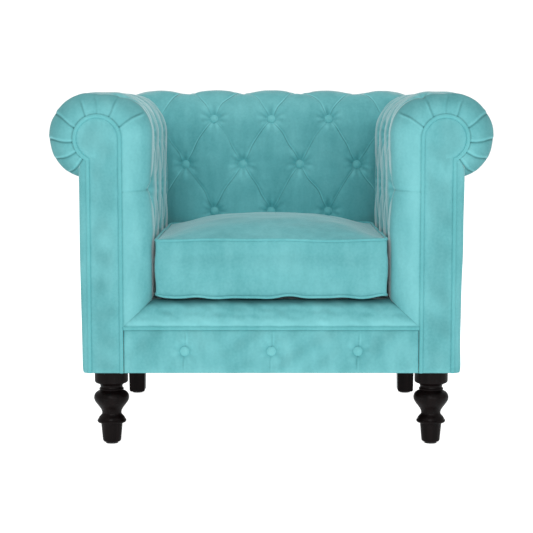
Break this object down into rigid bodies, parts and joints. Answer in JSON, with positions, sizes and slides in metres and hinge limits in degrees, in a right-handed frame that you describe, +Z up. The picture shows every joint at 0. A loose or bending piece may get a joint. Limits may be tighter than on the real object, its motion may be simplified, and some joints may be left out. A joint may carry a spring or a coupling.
{
  "type": "upholstered armchair",
  "caption": "Turquoise velvet scroll-arm armchair with a deep-buttoned back and inside arms, piped facings, a loose box seat cushion and dark turned front legs",
  "frame": {"origin": "on the floor, under the middle of the chair's bounding box", "axes": "+X to the right as seen from the front, +Y to the back, +Z up; the front faces -Y"},
  "size_m": [1, 0.8, 0.808],
  "materials": {
    "velvet": "matte",
    "piping": "matte",
    "leg_wood": "satin",
    "frame_wood": "matte",
    "plywood": "matte",
    "foam": "matte",
    "jute": "matte",
    "lining": "matte",
    "steel": "satin",
    "glide": "matte",
    "zip_tape": "matte"
  },
  "bodies": {
    "chair": {"front_leg_left": "leg_wood", "front_leg_right": "leg_wood", "rear_leg_left": "leg_wood", "rear_leg_right": "leg_wood", "leg_glides": "glide", "leg_bolts": "steel", "leg_tee_nuts": "steel", "front_rail": "frame_wood", "rear_rail": "frame_wood", "side_rail_left": "frame_wood", "side_rail_right": "frame_wood", "corner_blocks": "frame_wood", "arm_post_left": "frame_wood", "arm_post_right": "frame_wood", "back_post_left": "frame_wood", "back_post_right": "frame_wood", "arm_roll_rail_left": "frame_wood", "arm_roll_rail_right": "frame_wood", "back_roll_rail": "frame_wood", "scroll_board_left": "plywood", "scroll_board_right": "plywood", "seat_springs": "steel", "spring_clips": "steel", "spring_tie_rods": "steel", "deck_pad": "foam", "deck_cover": "velvet", "dust_cover": "lining", "arm_webbing": "jute", "back_webbing": "jute", "arm_foam_left": "foam", "arm_foam_right": "foam", "back_foam": "foam", "arm_cover_left": "velvet", "arm_cover_right": "velvet", "back_cover": "velvet", "arm_border_left": "velvet", "arm_border_right": "velvet", "front_border": "velvet", "arm_panel_left": "velvet", "arm_panel_right": "velvet", "front_panel": "velvet", "arm_welt_left": "piping", "arm_welt_right": "piping", "front_welt": "piping", "outside_arm_left": "velvet", "outside_arm_right": "velvet", "outside_back": "velvet", "back_buttons": "velvet", "arm_buttons_left": "velvet", "arm_buttons_right": "velvet", "front_buttons": "velvet"},
    "seat_cushion": {"cushion_cover": "velvet", "cushion_core": "foam", "cushion_welt_top": "piping", "cushion_welt_bottom": "piping", "zip_tape": "zip_tape"},
    "zip_slider": {"zip_slider": "steel"},
    "zip_pull": {"zip_pull": "steel"}
  },
  "joints": [
    {"name": "cushion_lift", "type": "slide", "parent": "chair", "child": "seat_cushion", "axis": [0, 0, 1], "range_m": [0, 0.3]},
    {"name": "zip_slide", "type": "slide", "parent": "seat_cushion", "child": "zip_slider", "axis": [1, 0, 0], "range_m": [0, 0.37]},
    {"name": "zip_pull_hinge", "type": "hinge", "parent": "zip_slider", "child": "zip_pull", "pos_m": [-0.192, 0.1605, 0.4023], "axis": [0, 0, 1], "range_deg": [0, 30]}
  ]
}
